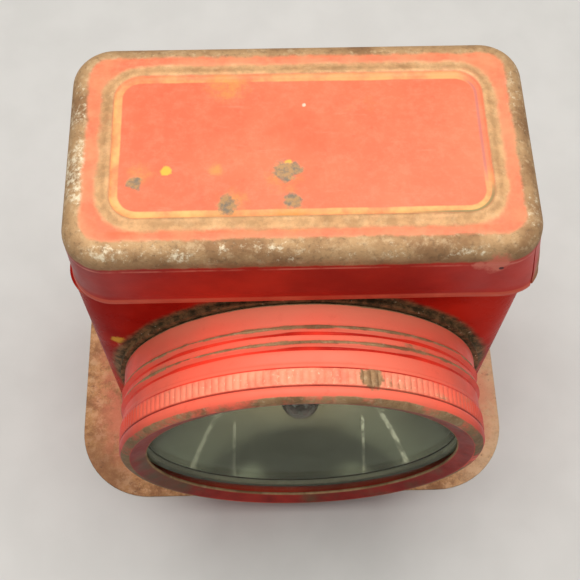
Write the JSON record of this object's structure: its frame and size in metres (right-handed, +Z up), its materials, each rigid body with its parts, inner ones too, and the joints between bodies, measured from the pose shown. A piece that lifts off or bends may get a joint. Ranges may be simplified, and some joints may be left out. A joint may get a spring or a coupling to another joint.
{
  "type": "darkroom safelight",
  "caption": "Flat rectangular battery lamp in enamelled pressed steel with a lift-off lid, wide base plate and a round screw bezel holding glass over a dished reflector and ruby bulb.",
  "frame": {"origin": "centre of the base plate's underside, on the table", "axes": "+Z up, -Y the way the glass faces, +X to the right as seen from the front"},
  "size_m": [0.182, 0.1325, 0.172],
  "materials": {
    "case_paint": "red baked enamel, worn at edges",
    "base_paint": "enamel mostly worn to rusty brown steel",
    "rivet_steel": "dull plated",
    "neck_plate": "dull tinned steel",
    "mirror_plate": "tarnished bright plating",
    "lens_clear": "clear, faintly green at the rim",
    "gasket_felt": "dark felt",
    "ruby_lacquer": "deep ruby lacquer over glass",
    "lamp_glass": "clear",
    "filament_wire": "dull grey wire",
    "brass": "dull brass",
    "solder": "dull solder",
    "fibre": "vulcanised fibre",
    "felt": "grey felt",
    "jacket_card": "brown card",
    "zinc": "dull zinc",
    "pitch": "black sealing pitch",
    "card": "pressboard",
    "lead_cover": "waxed braid",
    "knob": "moulded black"
  },
  "bodies": {
    "case": {"base_plate": "base_paint", "base_rivets": "rivet_steel", "housing": "case_paint", "neck": "neck_plate", "reflector": "mirror_plate", "socket_shell": "brass", "socket_disc": "fibre", "socket_rivet": "brass", "cell_pads": "felt", "cell_jackets": "jacket_card", "cell_cans": "zinc", "cell_seals": "pitch", "cell_carbons": "brass", "terminal_posts": "brass", "terminal_nuts": "brass", "link_strip": "brass", "lead_tags": "brass", "lead_bulb": "lead_cover", "lead_switch": "lead_cover", "switch_plate": "rivet_steel", "switch_rivets": "rivet_steel", "switch_spacers": "brass", "switch_fibre": "fibre", "switch_leaf": "brass"},
    "lid": {"lid": "case_paint", "lid_card": "card"},
    "lens": {"lens_glass": "lens_clear", "lens_gasket": "gasket_felt"},
    "bezel": {"bezel": "case_paint"},
    "bulb_base": {"bulb_tip": "solder"},
    "bulb": {"bulb_cap": "brass", "bulb_globe": "ruby_lacquer", "bulb_stem": "lamp_glass", "bulb_filament": "filament_wire"},
    "switch_slider": {"switch_knob": "knob", "switch_shoe": "brass"}
  },
  "joints": [
    {"name": "lid_lift", "type": "slide", "parent": "case", "child": "lid", "axis": [0, 0, 1], "range_m": [0, 0.04]},
    {"name": "bezel_turn", "type": "hinge", "parent": "lens", "child": "bezel", "pos_m": [0, -0.05, 0.078], "axis": [0, -1, 0], "range_deg": [0, 1800]},
    {"name": "lens_slide", "type": "slide", "parent": "case", "child": "lens", "axis": [0, -1, 0], "range_m": [0, 0.0251]},
    {"name": "bulb_turn", "type": "hinge", "parent": "bulb_base", "child": "bulb", "pos_m": [0, -0.04, 0.078], "axis": [0, -1, 0], "range_deg": [0, 1445]},
    {"name": "bulb_slide", "type": "slide", "parent": "case", "child": "bulb_base", "axis": [0, -1, 0], "range_m": [0, 0.00724]},
    {"name": "switch_slide", "type": "slide", "parent": "case", "child": "switch_slider", "axis": [0, 0, 1], "range_m": [0, 0.009]}
  ],
  "couplings": [
    {"joint": "lens_slide", "follows": "bezel_turn", "m_per_rad": 0.00079577},
    {"joint": "bulb_turn", "follows": "bulb_slide", "rad_per_m": 3471.4}
  ]
}
